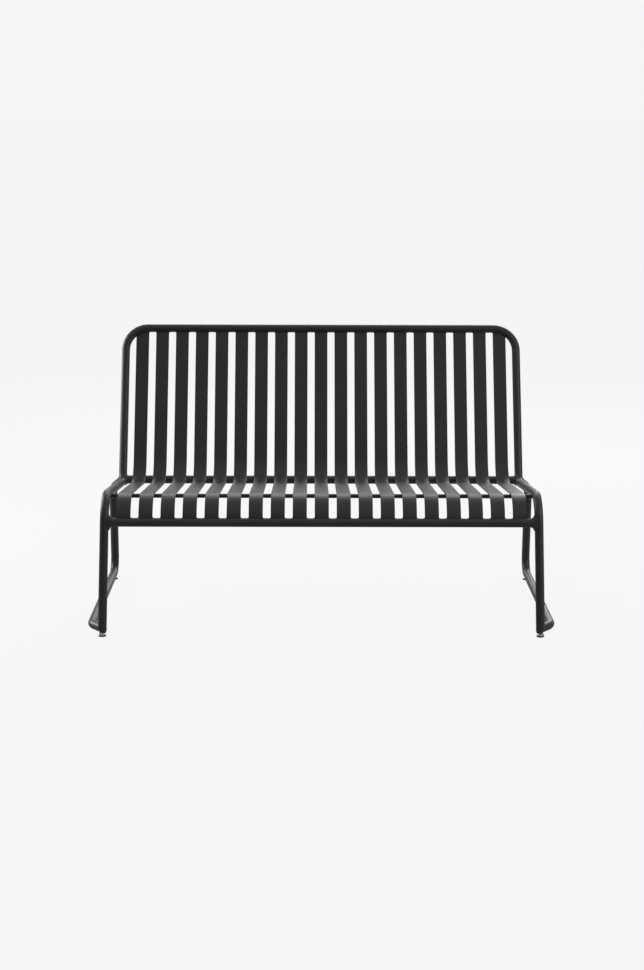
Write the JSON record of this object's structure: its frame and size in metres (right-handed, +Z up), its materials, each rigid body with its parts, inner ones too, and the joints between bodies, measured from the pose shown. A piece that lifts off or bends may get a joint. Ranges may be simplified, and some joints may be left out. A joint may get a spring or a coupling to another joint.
{
  "type": "lounge sofa",
  "caption": "Low outdoor sofa: a bent round tube frame with a curved seat and back of side by side flat metal bars, on two sled legs with screw glides.",
  "frame": {"origin": "on the floor, midway between left and right and between front and back", "axes": "+X to the right as seen from the front, along the sofa's length; +Y from the front to the back; +Z up"},
  "size_m": [1.3362, 0.7414, 0.81],
  "materials": {
    "coated_steel": "satin black powder coat",
    "insert_steel": "coated with the frame",
    "stud_steel": "bright zinc plated thread",
    "glide_plastic": "matte black nylon"
  },
  "bodies": {
    "frame": {"back_hoop": "coated_steel", "side_tube_left": "coated_steel", "side_tube_right": "coated_steel", "sled_left": "coated_steel", "sled_right": "coated_steel", "front_rail": "coated_steel", "rear_rail": "coated_steel", "seat_rod": "coated_steel", "slat_01": "coated_steel", "slat_02": "coated_steel", "slat_03": "coated_steel", "slat_04": "coated_steel", "slat_05": "coated_steel", "slat_06": "coated_steel", "slat_07": "coated_steel", "slat_08": "coated_steel", "slat_09": "coated_steel", "slat_10": "coated_steel", "slat_11": "coated_steel", "slat_12": "coated_steel", "slat_13": "coated_steel", "slat_14": "coated_steel", "slat_15": "coated_steel", "slat_16": "coated_steel", "slat_17": "coated_steel", "slat_18": "coated_steel", "slat_19": "coated_steel", "foot_inserts": "insert_steel"},
    "glide_front_left": {"glide_stud_front_left": "stud_steel", "glide_pad_front_left": "glide_plastic"},
    "glide_rear_left": {"glide_stud_rear_left": "stud_steel", "glide_pad_rear_left": "glide_plastic"},
    "glide_front_right": {"glide_stud_front_right": "stud_steel", "glide_pad_front_right": "glide_plastic"},
    "glide_rear_right": {"glide_stud_rear_right": "stud_steel", "glide_pad_rear_right": "glide_plastic"}
  },
  "joints": [
    {"name": "level_front_left", "type": "slide", "parent": "frame", "child": "glide_front_left", "axis": [0, 0, -1], "range_m": [-0.0025, 0.01]},
    {"name": "level_rear_left", "type": "slide", "parent": "frame", "child": "glide_rear_left", "axis": [0, 0, -1], "range_m": [-0.0025, 0.01]},
    {"name": "level_front_right", "type": "slide", "parent": "frame", "child": "glide_front_right", "axis": [0, 0, -1], "range_m": [-0.0025, 0.01]},
    {"name": "level_rear_right", "type": "slide", "parent": "frame", "child": "glide_rear_right", "axis": [0, 0, -1], "range_m": [-0.0025, 0.01]}
  ]
}
